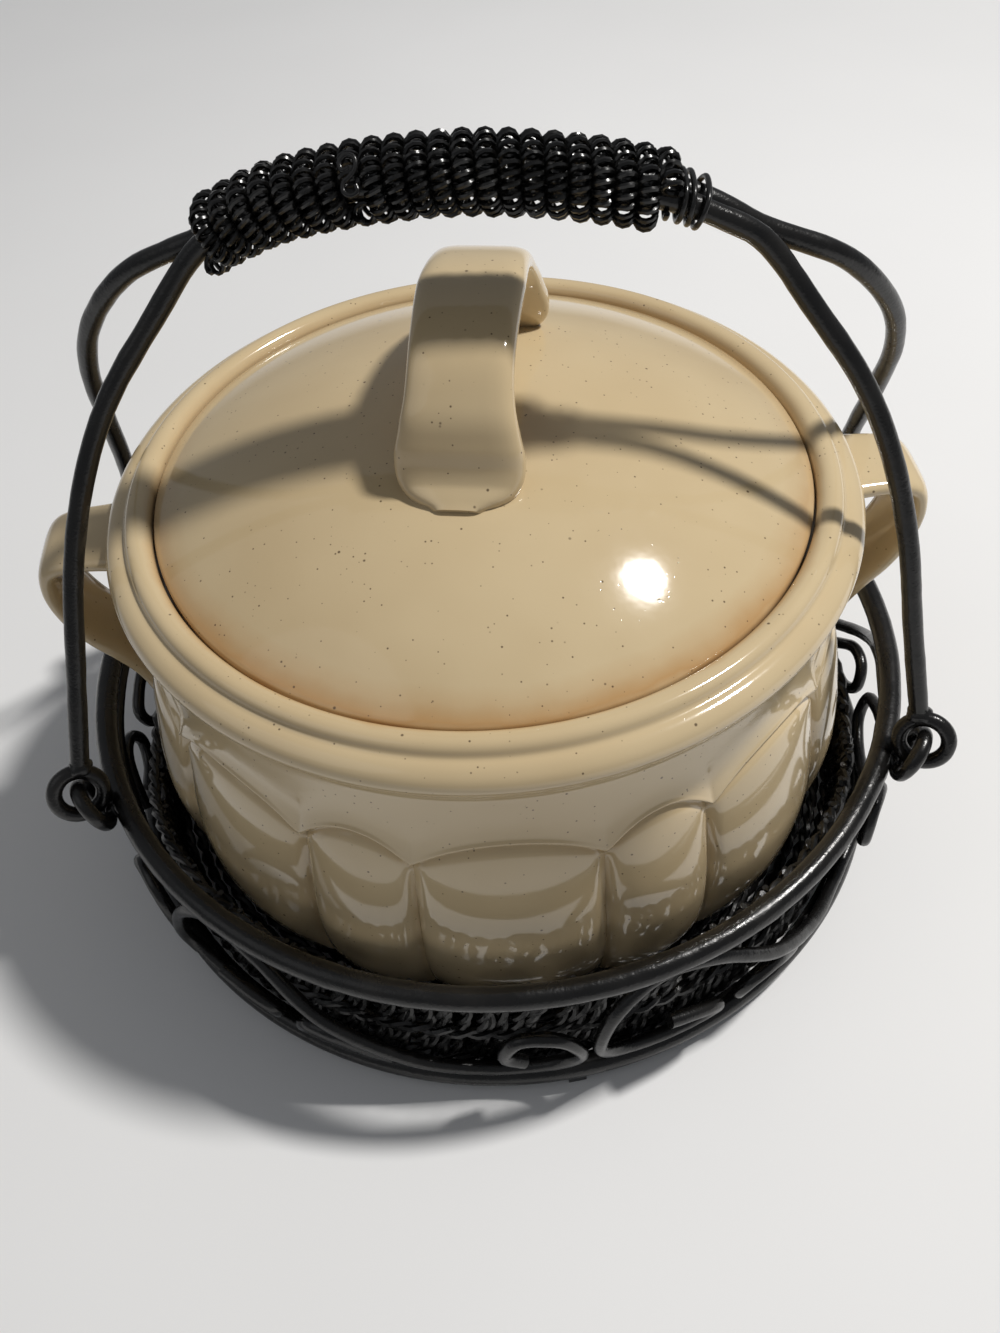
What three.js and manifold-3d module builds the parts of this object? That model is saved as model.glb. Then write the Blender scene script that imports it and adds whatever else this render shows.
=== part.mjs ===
// Lidded stoneware bean pot in an iron wire carrier with an arched bail.
// Millimetres, +Z up, the carrier's feet on z = 0, +X to the right, front towards -Y.
import * as THREE from "three";
import { mergeVertices } from "three/addons/utils/BufferGeometryUtils.js";
import Module from "manifold-3d";

const wasm = await Module();
wasm.setup();

// Clearances
const WELD_GAP = 0.3;
const SEAT_GAP = 0.3;
const WRAP_GAP = 0.75;
const LINK_GAP = 0.45;

// Carrier frame
const RING_PLAY = 10.85;
const RING_ROD = 6.5;
const RACK_HEIGHT = 50;
const BASE_INSET = 1;
const BAR_WIDTH = 5;
const BAR_THICK = 3;
const BAR_OVERHANG = -1.4;
const BAR_TURN = 10;
const SCROLL_COUNT = 6;
const SCROLL_ROD = 4;
const SCROLL_BULGE = 4;
const SCROLL_START = -38.5;
const LINER_WALL = 3;
const LINER_HEIGHT = 45;

// Links between the carrier and the bail
const EYE_TURN = 26.5;
const LINK_SKEW = 2.3;
const EYE_RADIUS = 6.5;
const EYE_ROD = 4.4;
const EYE_LEAN = 70;
const EYE_WELD_DROP = 25;
const ROD_FOOT_TILT = 24;
const RING_TILT = 24;
const LINK_SIDES = 6;

// Bail and grip
const BAIL_ROD = 5.2;
const BAIL_RISE = 149;
const BAIL_SHIFT = 3.4;
const GRIP_TURN = -3.8;
const ROD_SPREAD_START = 13;
const ROD_SPREAD_EASE = 6;
const ROD_PAIR_GAP = 0.4;
const COIL_ROD = 4;
const COIL_PITCH_LEFT = 4.95;
const COIL_PITCH_RIGHT = 4.8;
const COIL_LOOPS_LEFT = 7;
const COIL_LOOPS_RIGHT = 13;
const COIL_JOIN = 4.8;
const GRIP_LEFT_END = -57;
const TAIL_ROD = 1.8;
const TAIL_PITCH = 2.6;
const TAIL_LOOPS = 3;
const TAIL_OFFSET = 3.6;

// Pot
const POT_TURN = 3;
const POT_HEIGHT = 119.2;
const FOOT_RADIUS = 82;
const CREASE_RADIUS = 101.8;
const LOBE_SWELL = 4.1;
const NECK_INSET = 5.3;
const RIM_INSET = 1;
const BEAD_FLARE = 4.7;
const RIM_WIDTH = 12.3;
const POT_WALL = 7;
const POT_FLOOR = 7.5;
const LEDGE_WIDTH = 5.2;
const LEDGE_DEPTH = 7.7;
const MOUTH_DEPTH = 5.5;
const SHOULDER_DROP = 44.8;
const BELLY_DROP = 75.7;
const NECK_DROP = 18.2;
const NECK_STEP = 7;
const BEAD_DROP = 9.3;
const BEAD_HEIGHT = 3;
const GROOVE_DROP = 3;
const RIM_CREST = 2.9;
const LOBE_PAIRS = 8;
const WIDE_LOBE = 27.8;
const ARCH_RISE = 9.5;
const EAR_TURN = 2;
const EAR_WIDTH = 26;
const EAR_FOOT_WIDTH = 23;
const EAR_THICK = 5.5;
const EAR_DROP = 13.3;
const EAR_REACH = 27;
const EAR_HEIGHT = 49.5;

// Lid
const LID_RISE = 24;
const LID_THICK = 6.5;
const LID_EDGE = 5;
const LID_SKIRT = 4.3;
const LID_SKIRT_WALL = 3.7;
const STRAP_WIDTH = 31;
const STRAP_WAIST = 25.5;
const STRAP_THICK = 7;
const STRAP_SPAN = 75;
const STRAP_RISE = 31;
const STRAP_SHIFT = 4;
const STRAP_TURN = -7.3;

// Radii and heights worked out from the sizes above
const BELLY_RADIUS = CREASE_RADIUS + LOBE_SWELL;
const NECK_RADIUS = CREASE_RADIUS - NECK_INSET;
const RIM_RADIUS = NECK_RADIUS - RIM_INSET;
const BEAD_RADIUS = NECK_RADIUS + BEAD_FLARE;
const MOUTH_RADIUS = RIM_RADIUS - RIM_WIDTH;
const RING_RADIUS = BELLY_RADIUS + RING_PLAY + RING_ROD / 2;
const BASE_RADIUS = RING_RADIUS - BASE_INSET;
const BASE_Z = BAR_THICK + WELD_GAP + RING_ROD / 2;
const TOP_Z = BASE_Z + RACK_HEIGHT;
const LINER_Z = BAR_THICK + SEAT_GAP;
const POT_Z = LINER_Z + LINER_WALL + SEAT_GAP;
const RIM_Z = POT_Z + POT_HEIGHT;
const LEDGE_Z = RIM_Z - LEDGE_DEPTH;
const LID_Z = LEDGE_Z + SEAT_GAP;
const LID_RADIUS = MOUTH_RADIUS + LEDGE_WIDTH - 2 * SEAT_GAP;
const LINER_RADIUS = BASE_RADIUS - RING_ROD / 2 - 1.5 * SEAT_GAP;

const rad = THREE.MathUtils.degToRad;
const vec = (x, y, z) => new THREE.Vector3(x, y, z);
const polar = (radius, angle, z) => vec(radius * Math.cos(angle), radius * Math.sin(angle), z);

// Materials
const glaze = () => new THREE.MeshStandardMaterial({ color: 0xdcc595, roughness: 0.2, metalness: 0 });
const iron = () => new THREE.MeshStandardMaterial({ color: 0x1f1d1c, roughness: 0.45, metalness: 0.6 });
const strand = () => new THREE.MeshStandardMaterial({ color: 0x171514, roughness: 0.35, metalness: 0.2 });

const pot = new THREE.Group();
const lid = new THREE.Group();
const rack = new THREE.Group();
const bail = new THREE.Group();

function add(group, name, geometry, material) {
  const mesh = new THREE.Mesh(geometry, material);
  mesh.name = name;
  group.add(mesh);
  return mesh;
}

// A closed mesh from points and triangles, turned so that its faces point out.
function closedMesh(points, triangles) {
  let volume = 0;
  for (const [a, b, c] of triangles) {
    volume += points[a].dot(points[b].clone().cross(points[c]));
  }
  const faces = volume < 0 ? triangles.map(([a, b, c]) => [a, c, b]) : triangles;
  const geometry = new THREE.BufferGeometry();
  geometry.setAttribute("position", new THREE.Float32BufferAttribute(points.flatMap((p) => p.toArray()), 3));
  geometry.setIndex(faces.flat());
  geometry.computeVertexNormals();
  return geometry;
}

// Rings of equal point counts joined in order. A ring of one point is a pole; open ends get a flat cap.
function skin(rings) {
  const points = [];
  const starts = rings.map((ring) => {
    const start = points.length;
    points.push(...ring);
    return start;
  });
  const sides = Math.max(...rings.map((ring) => ring.length));
  const at = (ring, side) => starts[ring] + (rings[ring].length === 1 ? 0 : side % sides);
  const triangles = [];
  for (let i = 0; i + 1 < rings.length; i += 1) {
    for (let s = 0; s < sides; s += 1) {
      if (rings[i + 1].length > 1) triangles.push([at(i, s), at(i + 1, s), at(i + 1, s + 1)]);
      if (rings[i].length > 1) triangles.push([at(i, s), at(i + 1, s + 1), at(i, s + 1)]);
    }
  }
  const last = rings.length - 1;
  for (let s = 1; s + 1 < sides; s += 1) {
    if (rings[0].length > 1) triangles.push([at(0, 0), at(0, s), at(0, s + 1)]);
    if (rings[last].length > 1) triangles.push([at(last, 0), at(last, s + 1), at(last, s)]);
  }
  return closedMesh(points, triangles);
}

function tangentsOf(path) {
  return path.map((_, i) => {
    const before = path[Math.max(i - 1, 0)];
    const after = path[Math.min(i + 1, path.length - 1)];
    return after.clone().sub(before).normalize();
  });
}

// A round rod along a path, with its section carried along without twist.
function rod(path, diameter, sides) {
  const tangents = tangentsOf(path);
  const start = Math.abs(tangents[0].z) < 0.9 ? vec(0, 0, 1) : vec(0, 1, 0);
  let normal = start.cross(tangents[0]).normalize();
  const rings = path.map((point, i) => {
    normal = normal.clone().addScaledVector(tangents[i], -normal.dot(tangents[i])).normalize();
    const side = tangents[i].clone().cross(normal);
    return Array.from({ length: sides }, (_, k) => {
      const angle = (2 * Math.PI * k) / sides;
      return point.clone()
        .addScaledVector(normal, (diameter / 2) * Math.cos(angle))
        .addScaledVector(side, (diameter / 2) * Math.sin(angle));
    });
  });
  return skin(rings);
}

// A flat strap with rounded edges along a path, its width kept along one direction.
function strap(path, widthAt, thick, across) {
  const tangents = tangentsOf(path);
  const rings = path.map((point, i) => {
    const up = tangents[i].clone().cross(across).normalize();
    const half = widthAt(i / (path.length - 1)) / 2;
    const edge = half - thick / 4;
    const outline = [
      [half, 0], [edge, thick / 2], [-edge, thick / 2],
      [-half, 0], [-edge, -thick / 2], [edge, -thick / 2],
    ];
    return outline.map(([a, b]) => point.clone().addScaledVector(across, a).addScaledVector(up, b));
  });
  return skin(rings);
}

// A solid of revolution about Z from a profile that runs upwards on its outside.
function turned(profile) {
  return new THREE.LatheGeometry(profile.map(([r, z]) => new THREE.Vector2(r, z)), 44).rotateX(Math.PI / 2);
}

function samples(curve, steps) {
  return curve.getSpacedPoints(steps);
}

function smooth(points, tension = 0.5) {
  return new THREE.CatmullRomCurve3(points, false, "catmullrom", tension);
}

function manifoldOf(geometry) {
  const bare = geometry.clone();
  bare.deleteAttribute("normal");
  bare.deleteAttribute("uv");
  const merged = mergeVertices(bare, 1e-4);
  return new wasm.Manifold(new wasm.Mesh({
    numProp: 3,
    vertProperties: new Float32Array(merged.attributes.position.array),
    triVerts: new Uint32Array(merged.index.array),
  }));
}

function cutBy(geometry, tool) {
  const mesh = manifoldOf(geometry).subtract(manifoldOf(tool)).getMesh();
  const result = new THREE.BufferGeometry();
  result.setAttribute("position", new THREE.Float32BufferAttribute(mesh.vertProperties, 3));
  result.setIndex(Array.from(mesh.triVerts));
  result.computeVertexNormals();
  return result;
}

// The least gap of a wound rod to itself, measured on points of its centre line.
function selfGap(path, diameter, pointsPerLoop) {
  let least = Infinity;
  for (let i = 0; i < path.length; i += 1) {
    for (let j = i + Math.ceil(pointsPerLoop / 2); j < path.length; j += 1) {
      least = Math.min(least, path[i].distanceTo(path[j]));
    }
  }
  return least - diameter;
}

// Pot: lobed belly
const LOBE_STEP = rad(360 / LOBE_PAIRS);
const WIDE_HALF = rad(WIDE_LOBE) / 2;
const NARROW_HALF = LOBE_STEP / 2 - WIDE_HALF;
const WIDE_STEPS = 5;
const NARROW_STEPS = 3;

// Columns round the pot: each has its angle and its place across a lobe, from -1 to 1.
function lobeColumns() {
  const columns = [];
  for (let pair = 0; pair < LOBE_PAIRS; pair += 1) {
    const wideCentre = -Math.PI / 2 + pair * LOBE_STEP;
    const narrowCentre = wideCentre + LOBE_STEP / 2;
    const lobes = [[wideCentre, WIDE_HALF, WIDE_STEPS], [narrowCentre, NARROW_HALF, NARROW_STEPS]];
    for (const [centre, half, steps] of lobes) {
      for (let k = 0; k < steps; k += 1) {
        const across = -1 + (2 * k) / steps;
        columns.push({ angle: centre + across * half, across });
      }
    }
  }
  return columns;
}

// The pot's wall from the middle of its underside, over the rim, to the middle of its floor.
// Each row is a crease radius, a lobe crest radius, a height above the underside and an arch rise.
function potRows() {
  const swell = LOBE_SWELL;
  const belly = POT_HEIGHT - BELLY_DROP;
  const shoulder = POT_HEIGHT - SHOULDER_DROP;
  const neck = POT_HEIGHT - NECK_DROP;
  const bead = POT_HEIGHT - BEAD_DROP;
  const ledge = POT_HEIGHT - LEDGE_DEPTH;
  const seat = MOUTH_RADIUS + LEDGE_WIDTH;
  const below = (share) => THREE.MathUtils.lerp(FOOT_RADIUS, CREASE_RADIUS, share);
  const above = (share) => THREE.MathUtils.lerp(CREASE_RADIUS, NECK_RADIUS, share);
  const climb = (share) => THREE.MathUtils.lerp(belly, shoulder, share);
  return [
    [FOOT_RADIUS, 0, 0, 0],
    [below(0.25), swell * 0.22, belly * 0.05, 0],
    [below(0.6), swell * 0.59, belly * 0.14, 0],
    [below(0.78), swell * 0.78, belly * 0.262, 0],
    [below(0.94), swell * 0.95, belly * 0.54, 0],
    [CREASE_RADIUS, swell, belly * 0.81, 0],
    [CREASE_RADIUS, swell, belly, 0],
    [above(0.17), swell * 0.93, climb(0.37), 0],
    [above(0.43), swell * 0.66, climb(0.68), ARCH_RISE * 0.25],
    [above(0.56), swell * 0.33, climb(0.89), ARCH_RISE * 0.7],
    [above(0.65), swell * 0.08, climb(1), ARCH_RISE],
    [above(0.7), 0, climb(1.08), ARCH_RISE],
    [above(0.85), 0, climb(1.28), ARCH_RISE * 0.5],
    [above(0.97), 0, neck - NECK_STEP, 0],
    [NECK_RADIUS, 0, neck, 0],
    [THREE.MathUtils.lerp(NECK_RADIUS, BEAD_RADIUS, 0.45), 0, THREE.MathUtils.lerp(neck, bead, 0.7), 0],
    [BEAD_RADIUS, 0, bead, 0],
    [BEAD_RADIUS, 0, bead + BEAD_HEIGHT, 0],
    [THREE.MathUtils.lerp(NECK_RADIUS, BEAD_RADIUS, 0.45), 0, POT_HEIGHT - 1.27 * GROOVE_DROP, 0],
    [RIM_RADIUS + 0.1 * RIM_CREST, 0, POT_HEIGHT - GROOVE_DROP, 0],
    [RIM_RADIUS - 0.2 * RIM_CREST, 0, POT_HEIGHT - 0.4 * GROOVE_DROP, 0],
    [RIM_RADIUS - RIM_CREST, 0, POT_HEIGHT, 0],
    [seat + 0.55 * RIM_CREST, 0, POT_HEIGHT - 0.28 * RIM_CREST, 0],
    [seat, 0, POT_HEIGHT - 1.2 * RIM_CREST, 0],
    [seat, 0, ledge, 0],
    [MOUTH_RADIUS, 0, ledge, 0],
    [MOUTH_RADIUS, 0, ledge - MOUTH_DEPTH, 0],
    [NECK_RADIUS - POT_WALL, 0, neck - 0.3 * NECK_STEP, 0],
    [CREASE_RADIUS - POT_WALL, 0, belly, 0],
    [below(0.9) - POT_WALL, 0, POT_FLOOR + 0.35 * belly, 0],
    [FOOT_RADIUS - POT_WALL, 0, POT_FLOOR + 0.02 * belly, 0],
  ];
}

function potGeometry(grow) {
  const columns = lobeColumns();
  const rimRow = potRows().findIndex(([, , height]) => height === POT_HEIGHT);
  const rows = potRows().map(([crease, swell, height, rise], index) => {
    const outside = height > 0 && index < rimRow;
    return columns.map(({ angle, across }) => {
      const crown = 1 - across * across;
      const radius = crease + swell * Math.pow(crown, 0.65) + (outside ? grow : 0);
      return polar(radius, angle, POT_Z + height + rise * crown);
    });
  });
  return skin([[vec(0, 0, POT_Z)], ...rows, [vec(0, 0, POT_Z + POT_FLOOR)]]);
}

// An ear: a strap loop from under the rim bead out and down to the belly, cut to the pot's outside.
// Its points are shares of the reach beyond the wall, from the neck down to the belly's creases, and of the
// height down from the upper root.
const EAR_PATH = [
  [-0.06, 0], [0.3, -0.004], [0.62, 0.004], [0.828, 0.052], [0.876, 0.177], [0.84, 0.3125],
  [0.736, 0.458], [0.576, 0.604], [0.36, 0.74], [0.172, 0.865], [0.004, 1],
];

function earGeometry(side) {
  const upperZ = RIM_Z - EAR_DROP;
  const path = EAR_PATH.map(([out, down]) => {
    const wall = THREE.MathUtils.lerp(NECK_RADIUS, CREASE_RADIUS, down);
    return vec(side * (wall + EAR_REACH * out), 0, upperZ - EAR_HEIGHT * down);
  });
  const taper = (share) => THREE.MathUtils.lerp(EAR_WIDTH, EAR_FOOT_WIDTH, share);
  const band = strap(samples(smooth(path), 20), taper, EAR_THICK, vec(0, 1, 0));
  return cutBy(band.rotateZ(rad(EAR_TURN)), potGeometry(WELD_GAP));
}

// Lid
const DOME_RADIUS = (LID_RADIUS * LID_RADIUS + LID_RISE * LID_RISE) / (2 * LID_RISE);
const DOME_EDGE_Z = LID_Z + LID_EDGE;
const DOME_CENTRE_Z = DOME_EDGE_Z + LID_RISE - DOME_RADIUS;
const domeZ = (radius, offset) => {
  const shell = DOME_RADIUS + offset;
  return DOME_CENTRE_Z + Math.sqrt(shell * shell - radius * radius);
};

function lidGeometry() {
  const skirtOut = MOUTH_RADIUS - 2 * SEAT_GAP;
  const skirtIn = skirtOut - LID_SKIRT_WALL;
  const top = [0.18, 0.4, 0.6, 0.8, 0.93].map((share) => [share * LID_RADIUS, domeZ(share * LID_RADIUS, 0)]);
  const under = [0.85, 0.6, 0.3].map((share) => [share * skirtIn, domeZ(share * skirtIn, -LID_THICK)]);
  const profile = [
    [0, domeZ(0, 0)], ...top,
    [LID_RADIUS - 1, DOME_EDGE_Z + 0.2], [LID_RADIUS, DOME_EDGE_Z - 1],
    [LID_RADIUS, LID_Z + 0.8], [LID_RADIUS - 0.8, LID_Z],
    [skirtOut, LID_Z], [skirtOut, LID_Z - LID_SKIRT], [skirtIn, LID_Z - LID_SKIRT],
    ...under, [0, domeZ(0, -LID_THICK)],
  ];
  return turned(profile.reverse());
}

// The lid's strap: up from the front foot, over the top and down to the back foot.
// Its points are shares of half the span and of the rise above the feet.
const STRAP_PATH = [
  [-1.06, -0.1], [-0.92, 0.17], [-0.77, 0.6], [-0.47, 0.88], [0.05, 1],
  [0.57, 0.85], [0.82, 0.57], [0.95, 0.17], [1.06, -0.14],
];

function strapGeometry() {
  const half = STRAP_SPAN / 2;
  const footZ = domeZ(half, 0);
  const topZ = domeZ(0, 0) + STRAP_RISE - STRAP_THICK / 2;
  const path = STRAP_PATH.map(([along, up]) => {
    return vec(0, half * along + STRAP_SHIFT, THREE.MathUtils.lerp(footZ, topZ, up));
  });
  const waist = (share) => STRAP_WAIST + (STRAP_WIDTH - STRAP_WAIST) * Math.pow(2 * share - 1, 4);
  const band = strap(samples(smooth(path), 24), waist, STRAP_THICK, vec(1, 0, 0));
  const dome = new THREE.SphereGeometry(DOME_RADIUS + WELD_GAP, 96, 48).translate(0, 0, DOME_CENTRE_Z);
  return cutBy(band, dome).rotateZ(rad(STRAP_TURN));
}

// Carrier
function hoop(radius, diameter, z) {
  return new THREE.TorusGeometry(radius, diameter / 2, 8, 44).translate(0, 0, z);
}

// Points of a scroll are shares of one sector, counted from the large curl's middle, and of the clear height
// between the hoops. The wall swells outwards between the hoops.
const SCROLL_LOW = BASE_Z + RING_ROD / 2 + SCROLL_ROD / 2 + WELD_GAP;
const SCROLL_HIGH = TOP_Z - RING_ROD / 2 - SCROLL_ROD / 2 - WELD_GAP;
const SCROLL_WALL = (RING_RADIUS + BASE_RADIUS) / 2;

const LARGE_SCROLL = [
  [0, 0.45], [0.072, 0.37], [0.127, 0.26], [0.107, 0.06], [0.008, 0], [-0.103, 0.12], [-0.151, 0.4],
  [-0.115, 0.78], [-0.016, 1], [0.111, 0.93], [0.271, 0.56], [0.446, 0.17], [0.605, 0], [0.748, 0.05],
  [0.812, 0.29], [0.772, 0.6], [0.688, 0.66], [0.653, 0.45], [0.692, 0.3],
];
const SMALL_SCROLL = [
  [0.318, 0], [0.243, 0.01], [0.195, 0.15], [0.223, 0.32], [0.283, 0.33], [0.346, 0.18], [0.398, 0.04],
];

function scrollGeometry(outline, index, steps) {
  const points = outline.map(([along, share]) => {
    const radius = SCROLL_WALL + SCROLL_BULGE * Math.sin(Math.PI * share);
    const turn = rad(SCROLL_START - 90 + (360 / SCROLL_COUNT) * (index + along));
    return polar(radius, turn, THREE.MathUtils.lerp(SCROLL_LOW, SCROLL_HIGH, share));
  });
  return rod(samples(smooth(points), steps), SCROLL_ROD, 6);
}

// The basket: an open woven drum with a floor.
function linerGeometry() {
  const inside = LINER_RADIUS - LINER_WALL;
  const top = LINER_Z + LINER_HEIGHT;
  const profile = [
    [0, LINER_Z], [LINER_RADIUS - 1, LINER_Z], [LINER_RADIUS, LINER_Z + 1], [LINER_RADIUS, top],
    [inside, top], [inside, LINER_Z + LINER_WALL], [0, LINER_Z + LINER_WALL],
  ];
  return turned(profile);
}

function barGeometry(from, to, turn) {
  const bar = new THREE.BoxGeometry(to - from, BAR_WIDTH, BAR_THICK);
  return bar.translate((from + to) / 2, 0, BAR_THICK / 2).rotateZ(rad(turn));
}

// Links: each eye leans out from a weld on the top ring, and a bail ring hangs through it.
const EYE_OUTER = EYE_RADIUS + EYE_ROD / 2;
const WELD_REACH = RING_ROD / 2 + WELD_GAP + EYE_ROD / 2;
const eyeWeld = new THREE.Vector2(
  RING_RADIUS + WELD_REACH * Math.cos(rad(EYE_WELD_DROP)),
  TOP_Z - WELD_REACH * Math.sin(rad(EYE_WELD_DROP)),
);
const eyeLean = new THREE.Vector2(Math.cos(rad(EYE_LEAN)), Math.sin(rad(EYE_LEAN)));
const eyeCentre = eyeWeld.clone().addScaledVector(eyeLean, EYE_RADIUS);
const LINK_PLAY = EYE_RADIUS - EYE_ROD - LINK_GAP;
const linkCentre = eyeWeld.clone().addScaledVector(eyeLean, 2 * EYE_RADIUS);
linkCentre.y -= LINK_PLAY;
const footReach = EYE_OUTER + WELD_GAP;
// Each bail ring tilts about its lowest point, so that its upper end leans towards the grip with the rod.
const footRise = EYE_RADIUS + footReach * Math.cos(rad(ROD_FOOT_TILT));
const footSlip = footRise * Math.sin(rad(RING_TILT));
const rodFoot = new THREE.Vector2(
  linkCentre.x - footReach * Math.sin(rad(ROD_FOOT_TILT)),
  linkCentre.y - EYE_RADIUS + footRise * Math.cos(rad(RING_TILT)),
);
const FOOT_X = rodFoot.x * Math.cos(rad(EYE_TURN)) + footSlip * Math.sin(rad(EYE_TURN));
const FOOT_Y = rodFoot.x * Math.sin(rad(EYE_TURN)) - footSlip * Math.cos(rad(EYE_TURN));

// The eye's plane holds the hoop's own direction and the lean.
function eyeGeometry(turn) {
  const ring = new THREE.TorusGeometry(EYE_RADIUS, EYE_ROD / 2, LINK_SIDES, 14);
  return ring.rotateX(Math.PI / 2).rotateZ(Math.PI / 2).rotateY(rad(90 - EYE_LEAN))
    .translate(eyeCentre.x, 0, eyeCentre.y).rotateZ(turn);
}

function bailRingGeometry(turn, side) {
  const ring = new THREE.TorusGeometry(EYE_RADIUS, EYE_ROD / 2, LINK_SIDES, 14);
  return ring.rotateX(Math.PI / 2).translate(0, 0, EYE_RADIUS).rotateX(-side * rad(RING_TILT))
    .translate(linkCentre.x, 0, linkCentre.y - EYE_RADIUS).rotateZ(turn);
}

// Bail: half an arch from the top outwards, as shares of its half span and of its drop to the rod's foot.
const ARCH_TOP = TOP_Z + BAIL_RISE;
const GRIP_ARCH = [[0, 0], [0.19, 0.011], [0.36, 0.038], [0.46, 0.07], [0.555, 0.116]];
const FRONT_SHOULDER = [[0.658, 0.217], [0.778, 0.344], [0.86, 0.478], [0.92, 0.636], [0.959, 0.815]];
const BACK_SHOULDER = [[0.735, 0.19], [0.866, 0.314], [0.93, 0.449], [0.951, 0.606], [0.966, 0.777]];
const PAIR_HALF = (BAIL_ROD + ROD_PAIR_GAP) / 2;

function archCurve(shoulder) {
  const shares = [...GRIP_ARCH, ...shoulder, [1, 1]];
  const half = (side) => shares.map(([out, down]) => {
    return vec(side * FOOT_X * out + BAIL_SHIFT * (1 - down), 0, THREE.MathUtils.lerp(ARCH_TOP, rodFoot.y, down));
  });
  return smooth([...half(-1).reverse(), ...half(1).slice(1)]);
}

// The grip sits turned against the four links, so the bail twists evenly from one to the other.
function twisted(point) {
  const share = (ARCH_TOP - point.z) / (ARCH_TOP - rodFoot.y);
  return point.applyAxisAngle(vec(0, 0, 1), rad(THREE.MathUtils.lerp(GRIP_TURN, LINK_SKEW, share)));
}

// The rods run side by side under the grip and spread towards the front or back links below it.
function rodGeometry(shoulder, side) {
  const spread = (z) => {
    const drop = Math.max(0, ARCH_TOP - ROD_SPREAD_START - z);
    return (drop * drop) / (drop + ROD_SPREAD_EASE);
  };
  const scale = (FOOT_Y - PAIR_HALF) / spread(rodFoot.y);
  const path = samples(archCurve(shoulder), 44);
  for (const point of path) point.y = side * (PAIR_HALF + scale * spread(point.z));
  return rod(path.map(twisted), BAIL_ROD, 8);
}

// Loops round both rods: a rounded oblong loop whose middle runs along the arch.
const LOOP_ROUNDING = 0.12;

function woundPath(fromX, loops, pitch, diameter, stepsPerLoop) {
  const arch = archCurve(FRONT_SHOULDER);
  const length = arch.getLength();
  let start = 0;
  while (arch.getPointAt(start).x < fromX) start += 0.0005;
  const reach = BAIL_ROD / 2 + WRAP_GAP + diameter / 2;
  const place = (turns) => {
    const u = start + (turns * pitch) / length;
    const tangent = arch.getTangentAt(u);
    const up = vec(-tangent.z, 0, tangent.x);
    const angle = 2 * Math.PI * turns;
    const across = Math.cos(angle);
    const side = (PAIR_HALF * across) / Math.sqrt(across * across + LOOP_ROUNDING) + reach * across;
    return twisted(arch.getPointAt(u).addScaledVector(up, reach * Math.sin(angle)).add(vec(0, side, 0)));
  };
  const path = [];
  for (let k = 0; k <= loops * stepsPerLoop; k += 1) path.push(place(k / stepsPerLoop));
  const straight = (end, next) => end.clone().addScaledVector(end.clone().sub(next).normalize(), diameter);
  path.unshift(straight(path[0], path[1]));
  path.push(straight(path[path.length - 1], path[path.length - 2]));
  return path;
}

function xAfter(fromX, distance) {
  const arch = archCurve(FRONT_SHOULDER);
  let u = 0;
  while (arch.getPointAt(u).x < fromX) u += 0.0005;
  return arch.getPointAt(u + distance / arch.getLength()).x;
}

// Assembly
add(pot, "pot_body", potGeometry(0), glaze());
add(pot, "pot_ear_left", earGeometry(-1), glaze());
add(pot, "pot_ear_right", earGeometry(1), glaze());
add(lid, "lid_dome", lidGeometry(), glaze());
add(lid, "lid_strap", strapGeometry(), glaze());

add(rack, "top_ring", hoop(RING_RADIUS, RING_ROD, TOP_Z), iron());
add(rack, "base_ring", hoop(BASE_RADIUS, RING_ROD, BASE_Z), iron());
add(rack, "basket_liner", linerGeometry(), strand());
const barEnd = BASE_RADIUS + RING_ROD / 2 + BAR_OVERHANG;
add(rack, "floor_bar_long", barGeometry(-barEnd, barEnd, BAR_TURN - 90), iron());
add(rack, "floor_bar_right", barGeometry(BAR_WIDTH / 2 + WELD_GAP, barEnd, BAR_TURN), iron());
add(rack, "floor_bar_left", barGeometry(BAR_WIDTH / 2 + WELD_GAP, barEnd, BAR_TURN + 180), iron());
for (let i = 0; i < SCROLL_COUNT; i += 1) {
  add(rack, `large_scroll_${i + 1}`, scrollGeometry(LARGE_SCROLL, i, 40), iron());
  add(rack, `small_scroll_${i + 1}`, scrollGeometry(SMALL_SCROLL, i, 14), iron());
}
const LINKS = [
  ["front_left", Math.PI + rad(EYE_TURN), -1], ["front_right", -rad(EYE_TURN), 1],
  ["back_left", Math.PI - rad(EYE_TURN), 1], ["back_right", rad(EYE_TURN), -1],
];
for (const [place, turn, side] of LINKS) {
  add(rack, `rack_eye_${place}`, eyeGeometry(turn + rad(LINK_SKEW)), iron());
  add(bail, `bail_ring_${place}`, bailRingGeometry(turn + rad(LINK_SKEW), side), iron());
}
add(bail, "bail_rod_front", rodGeometry(FRONT_SHOULDER, -1), iron());
add(bail, "bail_rod_back", rodGeometry(BACK_SHOULDER, 1), iron());

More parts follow.
